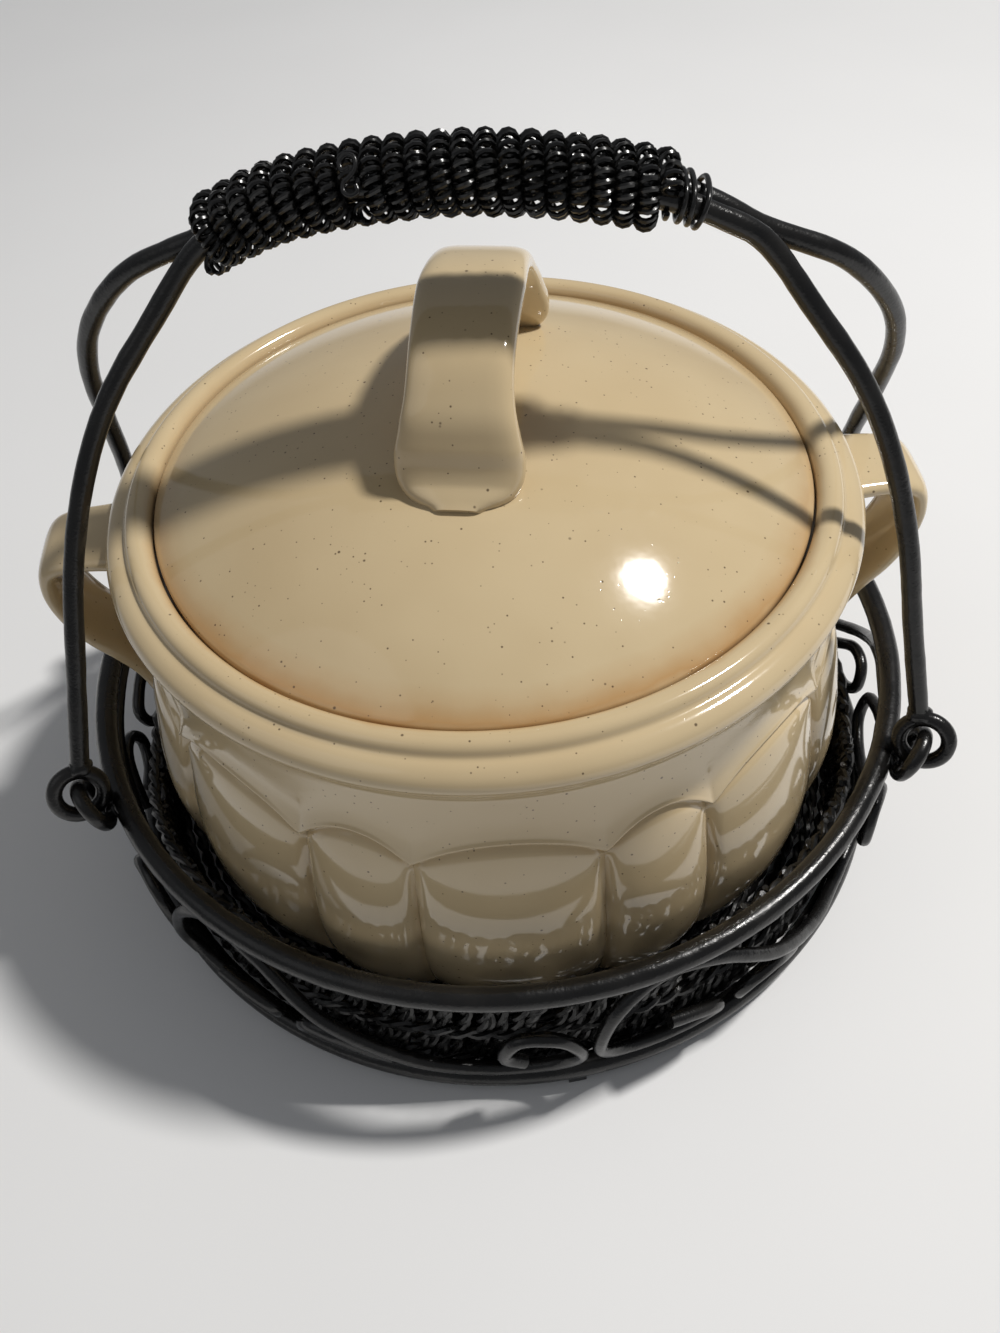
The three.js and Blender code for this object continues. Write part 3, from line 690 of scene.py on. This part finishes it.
# Scrolls: shares of one sector and of the clear height between the hoops
SCROLL_LOW = BASE_Z + RING_ROD / 2 + SCROLL_ROD / 2 + WELD_GAP
SCROLL_HIGH = TOP_Z - RING_ROD / 2 - SCROLL_ROD / 2 - WELD_GAP
SCROLL_WALL = (RING_RADIUS + BASE_RADIUS) / 2
LARGE_SCROLL = [
    (0, 0.45), (0.072, 0.37), (0.127, 0.26), (0.107, 0.06), (0.008, 0), (-0.103, 0.12), (-0.151, 0.4),
    (-0.115, 0.78), (-0.016, 1), (0.111, 0.93), (0.271, 0.56), (0.446, 0.17), (0.605, 0), (0.748, 0.05),
    (0.812, 0.29), (0.772, 0.6), (0.688, 0.66), (0.653, 0.45), (0.692, 0.3),
]
SMALL_SCROLL = [
    (0.318, 0), (0.243, 0.01), (0.195, 0.15), (0.223, 0.32), (0.283, 0.33), (0.346, 0.18),
    (0.398, 0.04),
]
SCROLLS = (("large", LARGE_SCROLL, 150), ("small", SMALL_SCROLL, 56))


def scroll_path(outline, index, count):
    points = []
    for along, share in outline:
        radius = SCROLL_WALL + SCROLL_BULGE * math.sin(math.pi * share)
        angle = rad(SCROLL_START - 90 + 360 / SCROLL_COUNT * (index + along))
        points.append(polar(radius, angle, lerp(SCROLL_LOW, SCROLL_HIGH, share)))
    return flowing(points, count)


for i in range(SCROLL_COUNT):
    for kind, outline, count in SCROLLS:
        scroll = wire_mesh([scroll_path(outline, i, count)], SCROLL_ROD / 2, girth=hammered)
        piece(
            f"iron_{kind}_scroll_{i + 1}", [scroll],
            IRON, "carrier", [f"{kind}_scroll_{i + 1}"],
        )

# Basket: near-upright two-ply cords, held by cords round the wall, and rings of cord as its floor
CORD_COUNT = 205
CORD_PLY = 0.98
CORD_SIDES = 6
CORD_TWIST = 0.86
CORD_OVAL = 1.25
CORD_LAY = 13.0
LAY_POINTS = 7
UPRIGHT_STEPS = 28
CORD_SLANT = 7.0
SLANT_DRIFT = 0.7
CORD_DRIFT = 1.8
CORD_SWAY = 2.2
CORD_WANDER = 0.8
CORD_INSET = 0.4
CORD_LOW = 2.4
CORD_HIGH = 1.4
CORD_RAGGED = 0.8
WALL_SETBACK = 2.8
WALL_SAG = 13.0
SLACK_FROM = 0.15
SLACK_EASE = 0.5
FLOOR_RINGS = 30
FLOOR_RING_OUTER = 109.5
FLOOR_RING_STEP = 3.6


def plies(line, turns, start):
    """Two strands twisted about a line of (point, outward, sideways)."""
    strands = []
    for ply in (0, math.pi):
        strand = []
        for k, (point, outward, sideways) in enumerate(line):
            phase = TURN * turns * k / len(line) + ply + start
            out = outward * (CORD_TWIST * math.cos(phase))
            along = sideways * (CORD_OVAL * CORD_TWIST * math.sin(phase))
            strand.append(point + out + along)
        strands.append(strand)
    return strands


def slack(angle):
    """One at the basket's sides and back, and nothing at its front, where its wall stands high."""
    front = min(max((-math.sin(angle) - SLACK_FROM) / SLACK_EASE, 0.0), 1.0)
    return 1 - front * front * (3 - 2 * front)


def round_cord(radius, z, start, setback=0.0, sag=0.0):
    turns = max(round(TURN * radius / CORD_LAY), 3)
    line = []
    steps = turns * LAY_POINTS
    for k in range(steps):
        angle = TURN * k / steps
        place = polar(radius - setback * slack(angle), angle, z - sag * slack(angle))
        line.append((place, polar(1, angle, 0), vec(0, 0, 1)))
    return plies(line, turns, start)


def upright_cord(index):
    """One cord of the wall, its noise and the start of its twist set off from the others."""
    drift = CORD_DRIFT * noise.noise(vec(index * 0.83, 4.1, 0.0))
    foot = TURN * index / CORD_COUNT
    loose = slack(foot)
    low = LINER_Z + CORD_LOW
    high = LINER_Z + LINER_HEIGHT - CORD_HIGH + CORD_RAGGED * drift - WALL_SAG * loose
    middle = LINER_RADIUS - LINER_WALL / 2 - CORD_INSET - WALL_SETBACK * loose
    slant = CORD_SLANT * (1 + SLANT_DRIFT * drift)
    line = []
    for k in range(UPRIGHT_STEPS + 1):
        share = k / UPRIGHT_STEPS
        sway = CORD_SWAY * noise.noise(vec(index * 0.71, share * 3, 9.0))
        angle = foot + (slant * share + sway) / LINER_RADIUS
        radius = middle + CORD_WANDER * noise.noise(vec(index * 0.9, share * 3, 2.0))
        place = polar(radius, angle, lerp(low, high, share))
        line.append((place, polar(1, angle, 0), polar(1, angle + math.pi / 2, 0)))
    return plies(line, (high - low) / CORD_LAY, 2.1 * index)


# Cords round the wall: height, inset from its outside and sag at the back
ROUNDS = ((3.0, 1.6, 0.0), (21.0, 0.4, WALL_SAG / 2), (LINER_HEIGHT - 2.2, 1.2, WALL_SAG))
wall_cords = [strand for i in range(CORD_COUNT) for strand in upright_cord(i)]
ring_cords = []
for z, inset, sag in ROUNDS:
    ring_cords += round_cord(LINER_RADIUS - inset, LINER_Z + z, z, WALL_SETBACK, sag)
for ring in range(FLOOR_RINGS):
    radius = FLOOR_RING_OUTER - FLOOR_RING_STEP * ring
    ring_cords += round_cord(radius, LINER_Z + LINER_WALL / 2, 2.3 * ring)
wall_mesh = wire_mesh(wall_cords, CORD_PLY, CORD_SIDES)
rounds_mesh = wire_mesh(ring_cords, CORD_PLY, CORD_SIDES, True)
piece("woven_basket", [wall_mesh], STRANDS, "carrier", ["basket_liner"])
piece("woven_basket_rounds", [rounds_mesh], STRANDS, "carrier")

# Links: points as (out from the pot's axis, height)
LINK_STEPS = 40
LINK_SIDES = 14
EYE_BEAD = vec(2.2, 3.4, 2.2)
ROD_BEAD = vec(3.4, 3.4, 2.4)
ROD_BEAD_SEED = 9
weld_reach = RING_ROD / 2 + WELD_GAP + EYE_ROD / 2
eye_weld = Vector((
    RING_RADIUS + weld_reach * math.cos(rad(EYE_WELD_DROP)),
    TOP_Z - weld_reach * math.sin(rad(EYE_WELD_DROP)),
))
eye_lean = Vector((math.cos(rad(EYE_LEAN)), math.sin(rad(EYE_LEAN))))
eye_centre = eye_weld + eye_lean * EYE_RADIUS
link_centre = eye_weld + eye_lean * (2 * EYE_RADIUS) - Vector((0, EYE_RADIUS - EYE_ROD - LINK_GAP))
foot_reach = EYE_RADIUS + EYE_ROD / 2 + WELD_GAP
foot_rise = EYE_RADIUS + foot_reach * math.cos(rad(ROD_FOOT_TILT))
foot_slip = foot_rise * math.sin(rad(RING_TILT))
rod_foot = Vector((
    link_centre.x - foot_reach * math.sin(rad(ROD_FOOT_TILT)),
    link_centre.y - EYE_RADIUS + foot_rise * math.cos(rad(RING_TILT)),
))
FOOT_X = rod_foot.x * math.cos(rad(EYE_TURN)) + foot_slip * math.sin(rad(EYE_TURN))
FOOT_Y = rod_foot.x * math.sin(rad(EYE_TURN)) - foot_slip * math.cos(rad(EYE_TURN))


def set_round(turn, out, across, z):
    """A point given outwards, sideways and up, at a turn about the pot's axis."""
    c, s = math.cos(turn), math.sin(turn)
    return vec(out * c - across * s, out * s + across * c, z)


def eye_path(turn):
    path = []
    for k in range(LINK_STEPS):
        a = TURN * k / LINK_STEPS
        reach = EYE_RADIUS * math.cos(a)
        place = eye_centre + eye_lean * reach
        path.append(set_round(turn, place.x, EYE_RADIUS * math.sin(a), place.y))
    return path


def bail_ring_path(turn, side):
    path = []
    for k in range(LINK_STEPS):
        a = TURN * k / LINK_STEPS
        rise = EYE_RADIUS * (1 + math.sin(a))
        out = link_centre.x + EYE_RADIUS * math.cos(a)
        across = side * rise * math.sin(rad(RING_TILT))
        z = link_centre.y - EYE_RADIUS + rise * math.cos(rad(RING_TILT))
        path.append(set_round(turn, out, across, z))
    return path


LINKS = [
    ("front_left", math.pi + rad(EYE_TURN), -1),
    ("front_right", -rad(EYE_TURN), 1),
    ("back_left", math.pi - rad(EYE_TURN), 1),
    ("back_right", rad(EYE_TURN), -1),
]
for seed, (place, link_turn, side) in enumerate(LINKS):
    turn = link_turn + rad(LINK_SKEW)
    eye_spot = set_round(turn, RING_RADIUS + RING_ROD * 0.46, 0, TOP_Z - RING_ROD * 0.2)
    eye_wire = wire_mesh([eye_path(turn)], EYE_ROD / 2, LINK_SIDES, True, hammered)
    piece(
        f"iron_rack_eye_{place}", [eye_wire, weld(eye_spot, EYE_BEAD, seed)],
        IRON, "carrier", [f"rack_eye_{place}"],
    )
    rod_spot = set_round(turn, rod_foot.x + 0.4, side * (foot_slip - 0.3), rod_foot.y - 0.8)
    ring_wire = wire_mesh([bail_ring_path(turn, side)], EYE_ROD / 2, LINK_SIDES, True, hammered)
    piece(
        f"iron_bail_ring_{place}", [ring_wire, weld(rod_spot, ROD_BEAD, seed + ROD_BEAD_SEED)],
        IRON, "handle", [f"bail_ring_{place}"],
    )

# Bail: half an arch, as shares of its half span and of its drop to the rod's foot
GRIP_ARCH = [(0, 0), (0.19, 0.011), (0.36, 0.038), (0.46, 0.07), (0.555, 0.116)]
FRONT_SHOULDER = [(0.658, 0.217), (0.778, 0.344), (0.86, 0.478), (0.92, 0.636), (0.959, 0.815)]
BACK_SHOULDER = [(0.735, 0.19), (0.866, 0.314), (0.93, 0.449), (0.951, 0.606), (0.966, 0.777)]


ROD_STEPS = 150
ARCH_STEPS = 2000


def arch_path(shoulder, count):
    half = {}
    for side in (-1, 1):
        half[side] = [
            vec(side * FOOT_X * out + BAIL_SHIFT * (1 - down), 0, lerp(ARCH_TOP, rod_foot.y, down))
            for out, down in (*GRIP_ARCH, *shoulder, (1, 1))
        ]
    return flowing([*reversed(half[-1]), *half[1][1:]], count)


def twisted(point):
    """The grip sits turned against the four links: the bail twists evenly from one to the other."""
    share = (ARCH_TOP - point.z) / (ARCH_TOP - rod_foot.y)
    turn = rad(lerp(GRIP_TURN, LINK_SKEW, share))
    return set_round(turn, point.x, point.y, point.z)


def rod_path(shoulder, side):
    def spread(z):
        drop = max(0.0, ARCH_TOP - ROD_SPREAD_START - z)
        return drop * drop / (drop + ROD_SPREAD_EASE)

    scale = (FOOT_Y - PAIR_HALF) / spread(rod_foot.y)
    path = arch_path(shoulder, ROD_STEPS)
    for p in path:
        p.y = side * (PAIR_HALF + scale * spread(p.z))
    return [twisted(p) for p in path]


for place, shoulder, side in (("front", FRONT_SHOULDER, -1), ("back", BACK_SHOULDER, 1)):
    rod = wire_mesh([rod_path(shoulder, side)], BAIL_ROD / 2, ROD_SIDES, False, hammered)
    piece(f"iron_bail_rod_{place}", [rod], IRON, "handle", [f"bail_rod_{place}"])

# Grip: loops round both rods
ARCH = arch_path(FRONT_SHOULDER, ARCH_STEPS)
ARCH_LENGTH = sum((b - a).length for a, b in zip(ARCH, ARCH[1:]))


def arch_at(length):
    """The arch's point and its upward direction at a length from the left foot."""
    place = min(max(length / ARCH_LENGTH, 0.0), 1.0) * (len(ARCH) - 1)
    k = min(int(place), len(ARCH) - 2)
    point = ARCH[k].lerp(ARCH[k + 1], place - k)
    along = (ARCH[min(k + 4, len(ARCH) - 1)] - ARCH[max(k - 3, 0)]).normalized()
    return point, vec(-along.z, 0, along.x)


def length_to(x):
    return next(k for k, p in enumerate(ARCH) if p.x >= x) * ARCH_LENGTH / (len(ARCH) - 1)


def loop_point(start, turns, pitch, diameter):
    point, up = arch_at(start + turns * pitch)
    angle = TURN * turns
    reach = BAIL_ROD / 2 + WRAP_GAP + diameter / 2
    across = math.cos(angle)
    side = PAIR_HALF * across / math.sqrt(across * across + LOOP_ROUNDING) + reach * across
    return point + up * (reach * math.sin(angle)) + vec(0, side, 0)


CURLS = 21
CURL_POINTS = 11
CURL_WIRE = 0.6
CURL_RADIUS = 2.15
CURL_SIDES = 6
CURL_RUN_OUT = 0.4
CURL_UNEVEN = 0.06
CURL_AHEAD = 0.004


def curled_path(start, loops, pitch):
    """A springy wire whose curls run along the loops."""
    path = []
    steps = round((loops + 2 * CURL_RUN_OUT) * CURLS * CURL_POINTS)
    for k in range(steps + 1):
        turns = k / CURLS / CURL_POINTS - CURL_RUN_OUT
        here = loop_point(start, turns, pitch, COIL_ROD)
        along = (loop_point(start, turns + CURL_AHEAD, pitch, COIL_ROD) - here).normalized()
        outward = here - arch_at(start + turns * pitch)[0]
        outward = (outward - along * outward.dot(along)).normalized()
        side = along.cross(outward)
        phase = TURN * k / CURL_POINTS
        size = CURL_RADIUS * (1 + CURL_UNEVEN * noise.noise(here * 0.35))
        curl = outward * (size * math.cos(phase))
        path.append(twisted(here + curl + side * (size * math.sin(phase))))
    return path


left_start = length_to(GRIP_LEFT_END)
right_start = left_start + COIL_LOOPS_LEFT * COIL_PITCH_LEFT + COIL_JOIN
tail_start = right_start + COIL_LOOPS_RIGHT * COIL_PITCH_RIGHT + TAIL_OFFSET
COILS = (
    ("left", left_start, COIL_LOOPS_LEFT, COIL_PITCH_LEFT),
    ("right", right_start, COIL_LOOPS_RIGHT, COIL_PITCH_RIGHT),
)
for place, start, loops, pitch in COILS:
    curls = wire_mesh([curled_path(start, loops, pitch)], CURL_WIRE, CURL_SIDES)
    piece(f"curled_grip_{place}", [curls], WIRE, "handle", [f"grip_coil_{place}"])

TAIL_WIRE = 0.66
TAIL_SIDES = 10
TAIL_POINTS = 36
TAIL_LEAD = 16
TAIL_GIVE = 0.5
TAIL_GIVE_RATE = 0.11
tail = []
for k in range(-TAIL_LEAD, TAIL_LOOPS * TAIL_POINTS + 1):
    give = TAIL_GIVE * math.sin(k * TAIL_GIVE_RATE) if k > 0 else 0.0
    across = TAIL_ROD + abs(give) / 2
    tail.append(twisted(loop_point(tail_start + give, k / TAIL_POINTS, TAIL_PITCH, across)))
tail_mesh = wire_mesh([tail], TAIL_WIRE, TAIL_SIDES)
piece("grip_tail", [tail_mesh], WIRE, "handle", ["grip_tail_wrap"])

# The curled wires' own ends: an S lying on the join, as (along the grip, up its face)
HOOK = [
    (0.2, 1.2), (-1.3, 0.9), (-1.7, 2.6), (-0.2, 3.9), (1.6, 3.0), (1.6, 1.0), (0.3, -0.6),
    (-1.2, -1.8), (-1.3, -3.6), (0.3, -4.6), (1.7, -3.9), (1.4, -2.6),
]
HOOK_STEPS = 90
HOOK_SIDES = 8
join, join_up = arch_at(right_start - COIL_JOIN / 2)
join_along = vec(join_up.z, 0, -join_up.x)
join_out = (join_up * 0.72 + vec(0, -0.69, 0)).normalized()
join_rise = (join_up * 0.69 + vec(0, 0.72, 0)).normalized()
join_reach = BAIL_ROD / 2 + WRAP_GAP + COIL_ROD + 0.5
join_face = join + vec(0, -PAIR_HALF * 0.75, 0) + join_out * join_reach
hook = [twisted(join_face + join_along * a + join_rise * b) for a, b in HOOK]
hook_mesh = wire_mesh([flowing(hook, HOOK_STEPS)], CURL_WIRE, HOOK_SIDES)
piece("grip_wire_ends", [hook_mesh], WIRE, "handle")

for bar in ("floor_bar_long", "floor_bar_right", "floor_bar_left"):
    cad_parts[bar].data.materials.clear()
    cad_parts[bar].data.materials.append(IRON)

# Floor, light and camera
FLOOR_HALF = 6.0
floor_bm = bmesh.new()
bmesh.ops.create_grid(floor_bm, x_segments=2, y_segments=2, size=FLOOR_HALF)
floor_mesh = bpy.data.meshes.new("floor")
floor_bm.to_mesh(floor_mesh)
floor_bm.free()
floor_finish, floor_tree, floor_shader = material("pale_floor", Roughness=0.75)
floor_place = node(floor_tree, "ShaderNodeTexCoord").outputs["Object"]
floor_tone = ramp(floor_tree, noise_of(floor_tree, floor_place, 3.0), [(0.3, 0.80), (0.7, 0.84)])
floor_tree.links.new(floor_tone, floor_shader.inputs["Base Color"])
floor_mesh.materials.append(floor_finish)
floor = bpy.data.objects.new("floor", floor_mesh)
bpy.context.scene.collection.objects.link(floor)

scene = bpy.context.scene
scene.view_settings.view_transform = "Standard"
world = scene.world or bpy.data.worlds.new("studio")
scene.world = world
world.use_nodes = True
backdrop = world.node_tree.nodes["Background"].inputs
backdrop["Color"].default_value = (0.92, 0.95, 1.0, 1.0)
backdrop["Strength"].default_value = 0.20


def lamp(name, place, aim, size, watts, tint=(1.0, 1.0, 1.0)):
    data = bpy.data.lights.new(name, "AREA")
    data.shape = "DISK"
    data.size = size
    data.energy = watts
    data.color = tint
    made = bpy.data.objects.new(name, data)
    made.location = place
    made.rotation_euler = (Vector(aim) - Vector(place)).to_track_quat("-Z", "Y").to_euler()
    scene.collection.objects.link(made)


lamp("key", (0.80, 0.22, 1.52), (0.0, 0.0, 0.1), 0.18, 25.0, (1.0, 0.98, 0.95))
lamp("fill", (-1.1, -0.6, 1.4), (0.0, 0.0, 0.08), 1.4, 1.4)

# Camera: its place and turns as fitted to the photo, in millimetres from the top ring's middle
VIEW_RISE = rad(47.69)
VIEW_ROLL = rad(-4.06)
VIEW_YAW = rad(-3.2)
VIEW_PLACE = vec(0, -242.69, 266.64)
VIEW_SLIP = (0.0035, -0.0261)
LENS = 41.4

back = vec(0, -math.cos(VIEW_RISE), math.sin(VIEW_RISE))
upward = vec(0, math.sin(VIEW_RISE), math.cos(VIEW_RISE))
ahead = (vec(VIEW_SLIP[0], 0, 0) + upward * VIEW_SLIP[1] - back).normalized()
right = ahead.cross(vec(0, 0, 1)).normalized()
top = right.cross(ahead)
rolled_right = right * math.cos(VIEW_ROLL) + top * math.sin(VIEW_ROLL)
rolled_top = top * math.cos(VIEW_ROLL) - right * math.sin(VIEW_ROLL)
into_frame = Matrix.Rotation(-VIEW_YAW, 3, "Z")
lens_data = bpy.data.cameras.new("camera")
lens_data.sensor_fit = "HORIZONTAL"
lens_data.sensor_width = 36.0
lens_data.lens = LENS
lens_data.clip_start = 0.01
camera = bpy.data.objects.new("camera", lens_data)
stand = (into_frame @ Matrix((rolled_right, rolled_top, -ahead)).transposed()).to_4x4()
stand.translation = (into_frame @ VIEW_PLACE + vec(0, 0, TOP_Z)) * MM
camera.matrix_world = stand
scene.collection.objects.link(camera)
scene.camera = camera
